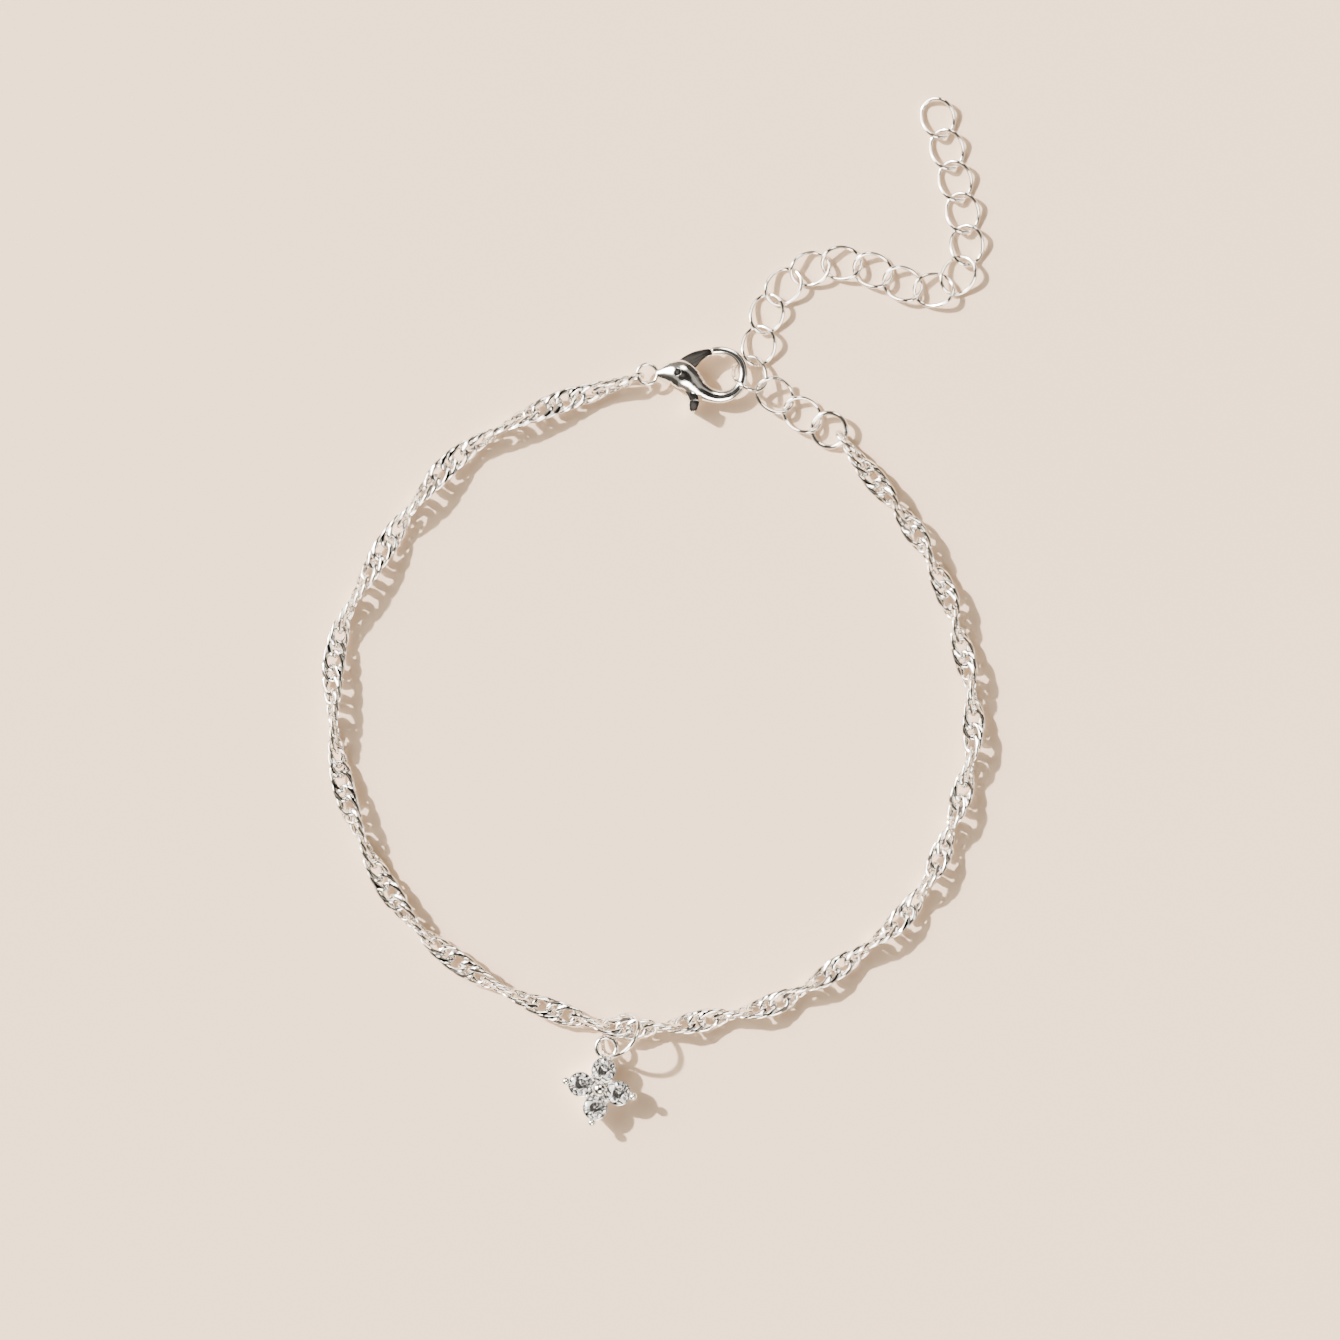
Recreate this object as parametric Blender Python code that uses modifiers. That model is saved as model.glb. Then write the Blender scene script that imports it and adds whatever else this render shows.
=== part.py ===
"""A charm bracelet lying closed on a flat surface: twisted chain, lobster clasp, extender and flower charm."""

import math
from typing import NamedTuple

import bmesh
import bpy
import numpy as np
from mathutils import Matrix, Vector

MM = 0.001

# Plan places are pixels of a straight-down view, x to the right and y down.
PX = MM / 11.0
ORIGIN_PX = (653.3, 611.6)

# Main chain: a ribbon of two-in-two curb links, wrung so that it turns right-handed.
CHAIN_WIDTH = 2.1 * MM
CHAIN_THICKNESS = 0.9 * MM
CHAIN_HEIGHT = 1.08 * MM
CHAIN_POINT_SPACING = 2.1 * MM
CHAIN_SPLIT = 0.505
END_GAP = 0.15 * MM
SPLIT_GAP = 0.3 * MM
END_LINK_LENGTH = 3.0 * MM
END_LINK_WIDTH = 1.9 * MM
END_LINK_WIRE = 0.34 * MM
END_LINK_RISE = 0.22 * MM

# Extender: twisted oval links that lie flat, and the ring that joins it to the main chain.
LINK_LENGTH = 3.93 * MM
LINK_WIDTH = 3.28 * MM
LINK_WIRE = 0.36 * MM
LINK_RISE = 0.345 * MM
LINK_POINTS = 16
LINK_PITCH = 2.97 * MM
LINK_HEIGHT = LINK_RISE + LINK_WIRE / 2
END_RING_DIAMETER = 3.6 * MM
END_RING_WIRE = 0.45 * MM

# Lobster clasp, ten millimetres long with its eye.
CLASP_HEIGHT = 1.22 * MM
CLASP_FLATTEN = 0.80
EYE_DIAMETER = 2.15 * MM
EYE_WIRE = 0.34 * MM
EYE_PX = (647.3, 374.6)
PIVOT_PX = (677.3, 373.1)
PIN_RADIUS = 0.36 * MM
PIN_HOLE_RADIUS = 0.42 * MM
PIN_LENGTH = 2.3 * MM
LEVER_THICKNESS = 1.0 * MM
SLOT_THICKNESS = 1.16 * MM
TAB_THICKNESS = 1.9 * MM
GATE_REACH_PX = 40.2
GATE_CLEARANCE_PX = 1.2

# Flower charm: four stones round a bead, with a loop over the top petal.
CHARM_PX = (599.7, 1087.3)
CHARM_TURN = math.radians(-13.0)
PETAL_RADIUS = 1.76 * MM
STONE_RADIUS = 1.0 * MM
STONE_TABLE = 0.57
STONE_GIRDLE = 0.05 * MM
STONE_HEIGHT = 2.13 * MM
CROWN_ANGLE = math.radians(34.0)
PAVILION_ANGLE = math.radians(41.0)
SEAT_GAP = 0.05 * MM
CUP_HEIGHT = 2.2 * MM
CUP_TOP_RADIUS = 1.13 * MM
CUP_BASE_RADIUS = 0.75 * MM
BACK_RADIUS = 1.42 * MM
BEAD_RADIUS = 0.66 * MM
LOOP_DIAMETER = 2.28 * MM
LOOP_WIRE = 0.44 * MM
LOOP_PLACE = Vector((-0.22 * MM, 3.76 * MM, 1.46 * MM))
CHARM_RING_DIAMETER = 4.76 * MM
CHARM_RING_WIRE = 0.42 * MM


class RoutePoint(NamedTuple):
    """A place on the middle line of a chain, with how high it lies."""

    x_px: float
    y_px: float
    height_mm: float


class Turn(NamedTuple):
    """Where the wrung ribbon has made a number of half turns: flat at whole numbers, on edge at halves."""

    x_px: float
    y_px: float
    half_turns: float


class Placement(NamedTuple):
    """A ring or link set by hand: middle, heading in plan, rise of its leading end, and roll about its length."""

    x_px: float
    y_px: float
    height_mm: float
    heading_deg: float
    rise_deg: float
    roll_deg: float


class Section(NamedTuple):
    """A round section of the clasp's casting on its middle line."""

    x_px: float
    y_px: float
    radius_mm: float


CHAIN_ROUTE = (
    RoutePoint(645.0, 374.8, 1.22),
    RoutePoint(625.0, 382.0, 1.12),
    RoutePoint(600.0, 390.5, 1.08),
    RoutePoint(560.0, 402.5, 1.08),
    RoutePoint(510.0, 425.0, 1.08),
    RoutePoint(470.0, 448.5, 1.08),
    RoutePoint(443.0, 471.0, 1.08),
    RoutePoint(415.0, 505.0, 1.08),
    RoutePoint(386.0, 546.0, 1.08),
    RoutePoint(360.0, 590.0, 1.08),
    RoutePoint(343.0, 625.0, 1.08),
    RoutePoint(334.5, 661.0, 1.08),
    RoutePoint(333.0, 700.0, 1.08),
    RoutePoint(337.0, 750.0, 1.08),
    RoutePoint(346.0, 795.0, 1.08),
    RoutePoint(362.0, 838.0, 1.08),
    RoutePoint(386.0, 885.0, 1.08),
    RoutePoint(417.0, 926.0, 1.08),
    RoutePoint(457.0, 961.0, 1.08),
    RoutePoint(505.0, 990.0, 1.08),
    RoutePoint(560.0, 1012.0, 1.12),
    RoutePoint(605.0, 1025.0, 1.38),
    RoutePoint(650.0, 1027.5, 1.38),
    RoutePoint(700.0, 1020.5, 1.12),
    RoutePoint(775.0, 1003.0, 1.08),
    RoutePoint(835.0, 969.0, 1.08),
    RoutePoint(875.0, 940.5, 1.08),
    RoutePoint(907.0, 911.0, 1.08),
    RoutePoint(936.0, 864.0, 1.08),
    RoutePoint(956.0, 810.0, 1.08),
    RoutePoint(968.0, 768.0, 1.08),
    RoutePoint(973.0, 725.0, 1.08),
    RoutePoint(970.5, 690.0, 1.08),
    RoutePoint(962.0, 650.0, 1.08),
    RoutePoint(948.0, 600.0, 1.08),
    RoutePoint(930.0, 560.0, 1.08),
    RoutePoint(912.0, 529.0, 1.08),
    RoutePoint(878.0, 485.0, 1.08),
    RoutePoint(856.0, 458.0, 1.06),
    RoutePoint(836.5, 431.0, 1.00),
)

CHAIN_TURNS = (
    Turn(629.0, 380.5, -0.5),
    Turn(560.0, 402.5, 0.0),
    Turn(445.0, 469.0, 1.0),
    Turn(385.0, 547.0, 2.0),
    Turn(334.5, 661.0, 3.0),
    Turn(345.0, 790.0, 4.0),
    Turn(389.0, 890.0, 5.0),
    Turn(455.0, 959.0, 6.0),
    Turn(560.0, 1012.0, 7.0),
    Turn(630.0, 1027.0, 8.0),
    Turn(700.0, 1020.5, 9.0),
    Turn(775.0, 1003.0, 10.0),
    Turn(835.0, 969.0, 11.0),
    Turn(905.0, 913.0, 12.0),
    Turn(940.0, 855.0, 13.0),
    Turn(960.0, 795.0, 14.0),
    Turn(973.0, 725.0, 15.0),
    Turn(963.0, 655.0, 16.0),
    Turn(944.0, 590.0, 17.0),
    Turn(912.0, 529.0, 18.0),
    Turn(878.0, 485.0, 19.0),
    Turn(846.0, 444.5, 19.5),
)

EXTENDER_ROUTE = (
    RoutePoint(761.5, 329.5, 0.5),
    RoutePoint(764.0, 314.0, 0.5),
    RoutePoint(780.0, 287.5, 0.5),
    RoutePoint(808.0, 268.0, 0.5),
    RoutePoint(841.0, 261.5, 0.5),
    RoutePoint(872.5, 268.5, 0.5),
    RoutePoint(902.0, 285.5, 0.5),
    RoutePoint(933.0, 293.5, 0.5),
    RoutePoint(960.5, 282.5, 0.5),
    RoutePoint(968.0, 250.0, 0.5),
    RoutePoint(963.5, 218.0, 0.5),
    RoutePoint(956.0, 186.0, 0.5),
    RoutePoint(948.0, 154.0, 0.5),
    RoutePoint(938.0, 120.0, 0.5),
    RoutePoint(932.0, 100.0, 0.5),
)

END_RING = Placement(829.0, 430.1, 0.69, 150.0, -5.0, -15.0)
FIRST_LINKS = (
    Placement(802.6, 415.1, 0.62, 147.0, 1.0, 1.0),
    Placement(775.2, 395.4, 1.01, 145.0, 13.0, 0.0),
    Placement(749.8, 374.9, 1.16, 108.0, -28.0, 11.0),
    Placement(758.5, 346.0, 0.56, 77.0, 1.0, -1.0),
)
CORNER_LINKS = {
    11: Placement(933.5, 290.2, 0.56, 3.0, 2.0, -1.0),
    12: Placement(958.0, 275.8, 0.55, 58.0, 1.0, -1.0),
    13: Placement(966.4, 245.6, 0.54, 92.0, 0.0, 0.0),
}
END_LINK_LEFT = Placement(629.0, 380.5, 1.12, -160.0, 0.0, 90.0)
END_LINK_RIGHT = Placement(846.0, 444.5, 1.05, 125.0, 0.0, 90.0)
CHARM_RING = Placement(620.8, 1033.6, 2.0, 232.0, 0.0, 55.0)

CLASP_SECTIONS = (
    Section(656.8, 374.3, 0.38),
    Section(661.0, 374.0, 0.64),
    Section(667.0, 373.6, 1.00),
    Section(674.0, 373.8, 1.34),
    Section(681.0, 375.2, 1.49),
    Section(688.0, 379.4, 1.40),
    Section(694.5, 385.6, 1.13),
    Section(701.0, 391.0, 0.87),
    Section(710.0, 395.6, 0.68),
    Section(720.5, 397.5, 0.58),
    Section(731.5, 394.7, 0.52),
    Section(739.8, 386.7, 0.46),
    Section(743.2, 375.6, 0.42),
    Section(741.5, 363.8, 0.40),
    Section(734.5, 355.2, 0.38),
    Section(723.5, 350.9, 0.37),
    Section(713.5, 351.2, 0.35),
)

LEVER_OUTLINE_PX = (
    (683.0, 358.0),
    (693.0, 352.8),
    (702.0, 350.5),
    (709.8, 349.7),
    (711.5, 352.5),
    (711.9, 355.6),
    (706.5, 357.9),
    (701.5, 361.6),
    (697.4, 366.6),
    (692.5, 372.0),
    (688.5, 378.0),
    (692.0, 386.0),
    (697.0, 394.0),
    (698.4, 402.5),
    (691.0, 403.5),
    (688.0, 397.0),
    (682.0, 388.0),
    (674.5, 381.5),
    (669.5, 376.5),
    (669.5, 370.5),
    (674.0, 365.5),
)

TAB_OUTLINE_PX = (
    (690.0, 401.4),
    (698.9, 401.4),
    (698.2, 407.5),
    (696.0, 411.4),
    (693.2, 412.6),
    (690.0, 411.4),
    (689.0, 406.0),
)

SLOT_OUTLINE_PX = (
    (715.0, 373.0),
    (700.5, 376.0),
    (694.5, 381.5),
    (696.8, 387.5),
    (701.5, 396.0),
    (702.5, 418.0),
    (666.0, 418.0),
    (666.5, 388.0),
    (671.0, 383.5),
    (667.0, 378.0),
    (667.0, 368.5),
    (674.0, 352.0),
)
SLOT_ARC_DEG = (-50.0, -6.0)
SLOT_ARC_STEPS = 6


def plan(x_px, y_px, height=0.0):
    """A place in the plan view, in metres, at a height over the surface."""
    return Vector(((x_px - ORIGIN_PX[0]) * PX, (ORIGIN_PX[1] - y_px) * PX, height))


def smooth_route(points, steps):
    """A Catmull-Rom curve through the points, with a number of steps between each two."""
    route = []
    for index in range(len(points) - 1):
        first = points[max(index - 1, 0)]
        start = points[index]
        end = points[index + 1]
        last = points[min(index + 2, len(points) - 1)]
        for step in range(steps):
            t = step / steps
            linear = (end - first) * t
            square = (2 * first - 5 * start + 4 * end - last) * t**2
            cube = (3 * start - first - 3 * end + last) * t**3
            route.append((2 * start + linear + square + cube) / 2)
    route.append(points[-1])
    return np.array(route)


def lengths_along(route):
    """The length run up to each point of a route."""
    steps = np.linalg.norm(np.diff(route, axis=0), axis=1)
    return np.concatenate([[0.0], np.cumsum(steps)])


def at_length(route, lengths, wanted):
    """The point of a route at a length along it."""
    return np.array([np.interp(wanted, lengths, route[:, axis]) for axis in range(3)])


def route_of(rows, steps=8):
    """The smooth route through rows of a table, and its lengths."""
    points = [np.array(plan(row.x_px, row.y_px, row.height_mm * MM)) for row in rows]
    route = smooth_route(points, steps)
    return route, lengths_along(route)


def collection_named(name):
    """A new collection in the scene."""
    group = bpy.data.collections.new(name)
    bpy.context.scene.collection.children.link(group)
    return group


def material_named(name, colour, roughness, metallic):
    """A plain finish."""
    finish = bpy.data.materials.new(name)
    finish.use_nodes = True
    shader = finish.node_tree.nodes["Principled BSDF"]
    shader.inputs["Base Color"].default_value = (*colour, 1.0)
    shader.inputs["Roughness"].default_value = roughness
    shader.inputs["Metallic"].default_value = metallic
    return finish


def add_object(name, data, group, finish=None):
    """An object of this data in a collection, with its finish."""
    piece = bpy.data.objects.new(name, data)
    group.objects.link(piece)
    if finish is not None:
        data.materials.append(finish)
    return piece


def frame_of(placement):
    """The matrix of a piece set by hand: roll about its length, then rise, then heading."""
    place = plan(placement.x_px, placement.y_px, placement.height_mm * MM)
    heading = Matrix.Rotation(math.radians(placement.heading_deg), 4, "Z")
    rise = Matrix.Rotation(-math.radians(placement.rise_deg), 4, "Y")
    roll = Matrix.Rotation(math.radians(placement.roll_deg), 4, "X")
    return Matrix.Translation(place) @ heading @ rise @ roll


def wire_curve(name, points, radius, cyclic=False, sides_resolution=1):
    """A round wire along points, with a radius for each of them or one for all."""
    curve = bpy.data.curves.new(name, "CURVE")
    curve.dimensions = "3D"
    curve.bevel_resolution = sides_resolution
    curve.use_fill_caps = not cyclic
    spline = curve.splines.new("POLY")
    spline.points.add(len(points) - 1)
    spline.use_cyclic_u = cyclic
    radii = radius if isinstance(radius, list) else [radius] * len(points)
    curve.bevel_depth = max(radii)
    for point, place, own_radius in zip(spline.points, points, radii):
        point.co = (*place, 1.0)
        point.radius = own_radius / max(radii)
    return curve


def link_curve(name, length, width, wire, rise):
    """A twisted oval link: its leading right and trailing left quarters stand over the others."""
    points = []
    for index in range(LINK_POINTS):
        angle = 2 * math.pi * index / LINK_POINTS
        x = (length - wire) / 2 * math.cos(angle)
        y = (width - wire) / 2 * math.sin(angle)
        points.append((x, y, -rise * math.sin(2 * angle)))
    curve = wire_curve(name, points, wire / 2, cyclic=True)
    return curve


def ring(name, diameter, wire, group, finish=None):
    """A round ring of round wire at the origin."""
    bpy.ops.mesh.primitive_torus_add(
        major_radius=(diameter - wire) / 2,
        minor_radius=wire / 2,
        major_segments=16,
        minor_segments=6,
    )
    return adopt(name, group, finish)


def adopt(name, group, finish=None):
    """Names the primitive that was just added, and moves it to its collection."""
    piece = bpy.context.active_object
    for owner in list(piece.users_collection):
        owner.objects.unlink(piece)
    group.objects.link(piece)
    piece.name = name
    piece.data.name = name
    if finish is not None:
        piece.data.materials.append(finish)
    return piece


def as_mesh(piece):
    """Swaps a curve object for the mesh it draws, with its caps welded on."""
    graph = bpy.context.evaluated_depsgraph_get()
    mesh = bpy.data.meshes.new_from_object(piece.evaluated_get(graph))
    shape = bmesh.new()
    shape.from_mesh(mesh)
    bmesh.ops.remove_doubles(shape, verts=shape.verts, dist=0.00001 * MM)
    bmesh.ops.recalc_face_normals(shape, faces=shape.faces)
    shape.to_mesh(mesh)
    shape.free()
    name = piece.name
    group = piece.users_collection[0]
    place = piece.matrix_world.copy()
    bpy.data.objects.remove(piece)
    solid = bpy.data.objects.new(name, mesh)
    solid.matrix_world = place
    group.objects.link(solid)
    return solid


def outline_solid(name, outline, thickness, height, group):
    """A flat plate of this outline, centred on a height."""
    curve = bpy.data.curves.new(name, "CURVE")
    curve.dimensions = "2D"
    curve.fill_mode = "BOTH"
    curve.extrude = thickness / 2
    spline = curve.splines.new("POLY")
    spline.points.add(len(outline) - 1)
    spline.use_cyclic_u = True
    for point, (x_px, y_px) in zip(spline.points, outline):
        point.co = (*plan(x_px, y_px), 1.0)
    plate = bpy.data.objects.new(name, curve)
    plate.location.z = height
    group.objects.link(plate)
    bpy.context.view_layer.update()
    return as_mesh(plate)


def lathe(name, profile, steps, group, place, finish=None):
    """A body turned about Z from a profile of radius and height, closed at the axis."""
    mesh = bpy.data.meshes.new(name)
    edges = [(index, index + 1) for index in range(len(profile) - 1)]
    mesh.from_pydata([(radius, 0.0, height) for radius, height in profile], edges, [])
    body = add_object(name, mesh, group, finish)
    body.location = place
    turn = body.modifiers.new("turn", "SCREW")
    turn.steps = steps
    turn.render_steps = steps
    turn.use_merge_vertices = True
    turn.merge_threshold = 0.000001
    turn.use_smooth_shade = False
    return body


def ball(name, radius, place, group, segments=12, rings=8):
    """A cast bead."""
    bpy.ops.mesh.primitive_uv_sphere_add(segments=segments, ring_count=rings, radius=radius, location=place)
    return adopt(name, group)


def rod(name, radius, start, end, group, sides=10):
    """A straight round rod between two places."""
    along = end - start
    bpy.ops.mesh.primitive_cylinder_add(vertices=sides, radius=radius, depth=along.length)
    piece = adopt(name, group)
    turn = along.to_track_quat("Z", "Y").to_matrix().to_4x4()
    piece.matrix_world = Matrix.Translation((start + end) / 2) @ turn
    return piece


def combine(body, tool, operation):
    """A Boolean of the body with a hidden tool."""
    step = body.modifiers.new(tool.name, "BOOLEAN")
    step.operation = operation
    step.solver = "EXACT"
    step.object = tool
    tool.hide_render = True
    tool.display_type = "WIRE"


def soften(piece, angle_deg=40.0):
    """Smooth shading with sharp edges kept."""
    piece.data.shade_smooth()
    piece.data.set_sharp_from_angle(angle=math.radians(angle_deg))


def build_chain(group, silver):
    """The wrung ribbon of the main chain, in two halves that meet beside the charm, and its two end links."""
    route, lengths = route_of(CHAIN_ROUTE)
    turn_lengths = []
    for row in CHAIN_TURNS:
        offsets = route[:, :2] - np.array(plan(row.x_px, row.y_px))[:2]
        turn_lengths.append(lengths[np.argmin(np.linalg.norm(offsets, axis=1))])
    half_turns = [row.half_turns for row in CHAIN_TURNS]
    first = END_LINK_LENGTH + END_GAP
    last = lengths[-1] - END_LINK_LENGTH - END_GAP
    split = lengths[-1] * CHAIN_SPLIT
    halves = (
        ("main_chain_left", first, split - SPLIT_GAP / 2),
        ("main_chain_right", split + SPLIT_GAP / 2, last),
    )
    for name, start, end in halves:
        count = round((end - start) / CHAIN_POINT_SPACING) + 1
        places = np.linspace(start, end, count)
        points = [at_length(route, lengths, place) for place in places]
        curve = wire_curve(name, points, CHAIN_THICKNESS / 2)
        curve.extrude = (CHAIN_WIDTH - CHAIN_THICKNESS) / 2
        curve.twist_mode = "Z_UP"
        for point, place in zip(curve.splines[0].points, places):
            point.tilt = math.pi * (0.5 + np.interp(place, turn_lengths, half_turns))
        add_object(name, curve, group, silver)

    ends = (("chain_end_link_left", END_LINK_LEFT), ("chain_end_link_right", END_LINK_RIGHT))
    shape = link_curve("chain_end_link", END_LINK_LENGTH, END_LINK_WIDTH, END_LINK_WIRE, END_LINK_RISE)
    shape.materials.append(silver)
    for name, placement in ends:
        piece = add_object(name, shape, group)
        piece.matrix_world = frame_of(placement)


def build_extender(group, silver):
    """The end ring and the extender's links, each through the next."""
    joint_ring = ring("end_ring", END_RING_DIAMETER, END_RING_WIRE, group, silver)
    joint_ring.matrix_world = frame_of(END_RING)
    soften(joint_ring)
    shape = link_curve("extender_link", LINK_LENGTH, LINK_WIDTH, LINK_WIRE, LINK_RISE)
    shape.materials.append(silver)
    frames = [frame_of(placement) for placement in FIRST_LINKS]
    route, lengths = route_of(EXTENDER_ROUTE)
    joints = chord_walk(route, lengths, LINK_PITCH)
    for start, end in zip(joints, joints[1:]):
        middle = Vector((start + end) / 2)
        middle.z = LINK_HEIGHT
        heading = math.atan2(end[1] - start[1], end[0] - start[0])
        frames.append(Matrix.Translation(middle) @ Matrix.Rotation(heading, 4, "Z"))
    for index, placement in CORNER_LINKS.items():
        frames[index - 1] = frame_of(placement)
    for index, frame in enumerate(frames, start=1):
        piece = add_object(f"extender_link_{index:02d}", shape, group)
        piece.matrix_world = frame


def chord_walk(route, lengths, pitch):
    """Joints along a route, each a straight pitch from the one before."""
    fine = np.linspace(0.0, lengths[-1], 4000)
    places = np.array([at_length(route, lengths, place) for place in fine])
    joints = [places[0]]
    for place in places:
        if np.linalg.norm(place - joints[-1]) >= pitch:
            joints.append(place)
    return joints


def build_clasp(group, tools, silver):
    """The clasp's casting with its eye, slot and pin hole, the sprung lever, and the pin."""
    rows = [np.array((*plan(row.x_px, row.y_px), row.radius_mm * MM))[[0, 1, 3]] for row in CLASP_SECTIONS]
    line = smooth_route(rows, 3)
    points = [(x, y, 0.0) for x, y, _ in line]
    radii = [float(radius) for _, _, radius in line]
    curve = wire_curve("clasp_body", points, radii, sides_resolution=4)
    body = add_object("clasp_body", curve, group, silver)
    body.location.z = CLASP_HEIGHT
    body.scale.z = CLASP_FLATTEN
    bpy.context.view_layer.update()
    body = as_mesh(body)
    body.data.transform(body.matrix_world)
    body.matrix_world = Matrix.Identity(4)
    body.data.materials.clear()
    body.data.materials.append(silver)

    eye = ring("eye_tool", EYE_DIAMETER, EYE_WIRE, tools)
    eye.location = plan(*EYE_PX, CLASP_HEIGHT)
    combine(body, eye, "UNION")

    reach = GATE_REACH_PX + GATE_CLEARANCE_PX
    start, end = SLOT_ARC_DEG
    arc = []
    for step in range(SLOT_ARC_STEPS + 1):
        angle = math.radians(start + (end - start) * step / SLOT_ARC_STEPS)
        arc.append((PIVOT_PX[0] + reach * math.cos(angle), PIVOT_PX[1] + reach * math.sin(angle)))
    slot = outline_solid("slot_tool", (*arc, *SLOT_OUTLINE_PX), SLOT_THICKNESS, CLASP_HEIGHT, tools)
    combine(body, slot, "DIFFERENCE")

    pivot = plan(*PIVOT_PX, CLASP_HEIGHT)
    rise = Vector((0.0, 0.0, 3.0 * MM))
    hole = rod("pin_hole_tool", PIN_HOLE_RADIUS, pivot - rise, pivot + rise, tools, sides=12)
    combine(body, hole, "DIFFERENCE")
    soften(body)

    lever = outline_solid("clasp_lever", LEVER_OUTLINE_PX, LEVER_THICKNESS, CLASP_HEIGHT, group)
    lever.data.transform(Matrix.Translation(-pivot) @ lever.matrix_world)
    lever.matrix_world = Matrix.Translation(pivot)
    lever.data.materials.append(silver)
    tab = outline_solid("tab_tool", TAB_OUTLINE_PX, TAB_THICKNESS, CLASP_HEIGHT, tools)
    combine(lever, tab, "UNION")
    combine(lever, hole, "DIFFERENCE")

    half = Vector((0.0, 0.0, PIN_LENGTH / 2))
    pin = rod("clasp_pin", PIN_RADIUS, pivot - half, pivot + half, group, sides=12)
    pin.data.materials.append(silver)
    soften(pin)


def charm_place(x, y, height):
    """A place in the charm, measured from its centre with the loop at the top."""
    turned = Matrix.Rotation(CHARM_TURN, 3, "Z") @ Vector((x, y, 0.0))
    return plan(*CHARM_PX, height) + turned


def petal_places():
    """Each petal's name and the middle of its stone."""
    return (
        ("top", 0.0, PETAL_RADIUS),
        ("left", -PETAL_RADIUS, 0.0),
        ("right", PETAL_RADIUS, 0.0),
        ("bottom", 0.0, -PETAL_RADIUS),
    )


def build_charm(group, tools, silver, crystal):
    """The flower's casting, its four stones and the jump ring that holds it to the chain."""
    base = charm_place(0.0, 0.0, 0.0)
    profile = (
        (0.0, 2.3 * MM),
        (0.62 * MM, 2.3 * MM),
        (0.7 * MM, 0.7 * MM),
        (BACK_RADIUS, 0.5 * MM),
        (BACK_RADIUS, 0.0),
        (0.0, 0.0),
    )
    setting = lathe("charm_setting", profile, 16, group, base, silver)
    cup = (
        (0.0, CUP_HEIGHT),
        (CUP_TOP_RADIUS, CUP_HEIGHT),
        (CUP_BASE_RADIUS, 0.0),
        (0.0, 0.0),
    )
    for name, x, y in petal_places():
        combine(setting, lathe(f"cup_{name}_tool", cup, 16, tools, charm_place(x, y, 0.0)), "UNION")

    bead = ball("bead_tool", BEAD_RADIUS, charm_place(0.0, 0.0, 2.15 * MM), tools)
    combine(setting, bead, "UNION")
    for name, x, y in petal_places()[1:]:
        reach = Vector((x, y, 0.0)).normalized()
        foot = reach * 2.35 * MM
        tip = reach * 3.12 * MM
        start = charm_place(foot.x, foot.y, 0.5 * MM)
        end = charm_place(tip.x, tip.y, 2.35 * MM)
        combine(setting, rod(f"prong_{name}_tool", 0.21 * MM, start, end, tools, sides=8), "UNION")
        combine(setting, ball(f"tip_{name}_tool", 0.38 * MM, end, tools, 10, 6), "UNION")
    for index in range(4):
        angle = math.radians(45.0 + 90.0 * index)
        x = 1.3 * MM * math.cos(angle)
        y = 1.3 * MM * math.sin(angle)
        start = charm_place(x, y, 0.4 * MM)
        end = charm_place(x, y, 2.4 * MM)
        combine(setting, rod(f"notch_{index}_tool", 0.17 * MM, start, end, tools, sides=8), "UNION")
    neck = charm_place(-0.05 * MM, 2.3 * MM, LOOP_PLACE.z)
    loop_foot = charm_place(-0.18 * MM, 2.92 * MM, LOOP_PLACE.z)
    combine(setting, rod("neck_tool", 0.24 * MM, neck, loop_foot, tools, sides=8), "UNION")
    loop = ring("loop_tool", LOOP_DIAMETER, LOOP_WIRE, tools)
    loop.location = charm_place(LOOP_PLACE.x, LOOP_PLACE.y, LOOP_PLACE.z)
    combine(setting, loop, "UNION")

    seat_radius = STONE_RADIUS + SEAT_GAP
    seat_depth = seat_radius * math.tan(PAVILION_ANGLE)
    seat = (
        (0.0, 1.0 * MM),
        (seat_radius, 1.0 * MM),
        (seat_radius, 0.0),
        (0.0, -seat_depth),
    )
    crown = STONE_RADIUS * (1.0 - STONE_TABLE) * math.tan(CROWN_ANGLE)
    stone = (
        (0.0, STONE_GIRDLE + crown),
        (STONE_RADIUS * STONE_TABLE, STONE_GIRDLE + crown),
        (STONE_RADIUS, STONE_GIRDLE),
        (STONE_RADIUS, 0.0),
        (0.0, -STONE_RADIUS * math.tan(PAVILION_ANGLE)),
    )
    for name, x, y in petal_places():
        place = charm_place(x, y, STONE_HEIGHT)
        combine(setting, lathe(f"seat_{name}_tool", seat, 16, tools, place), "DIFFERENCE")
        lathe(f"stone_{name}", stone, 16, group, place, crystal)

    jump_ring = ring("charm_ring", CHARM_RING_DIAMETER, CHARM_RING_WIRE, group, silver)
    jump_ring.matrix_world = frame_of(CHARM_RING)
    soften(jump_ring)


def main():
    """Clears the scene and builds the bracelet."""
    for piece in list(bpy.data.objects):
        bpy.data.objects.remove(piece)
    group = collection_named("charm_bracelet")
    tools = collection_named("cutters")
    tools.hide_render = True
    silver = material_named("silver_plate", (0.86, 0.85, 0.83), 0.12, 1.0)
    crystal = material_named("clear_crystal", (0.92, 0.93, 0.95), 0.02, 0.0)
    build_chain(group, silver)
    build_extender(group, silver)
    build_clasp(group, tools, silver)
    build_charm(group, tools, silver, crystal)


main()
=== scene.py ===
"""Charm bracelet: the fine links, castings, stones and finishes that dress its CAD solids."""

import logging
from abc import ABC, abstractmethod
from dataclasses import dataclass, field
from enum import Enum
from math import atan2, cos, pi, radians, sin, tan
from typing import NamedTuple, Sequence

import bmesh
import bpy
import numpy as np
from bmesh.types import BMEdge, BMesh, BMVert
from bpy.types import ID, Light, Material, Mesh, Node, NodeSocket, NodeTree, Object
from mathutils import Matrix, Vector


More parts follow.
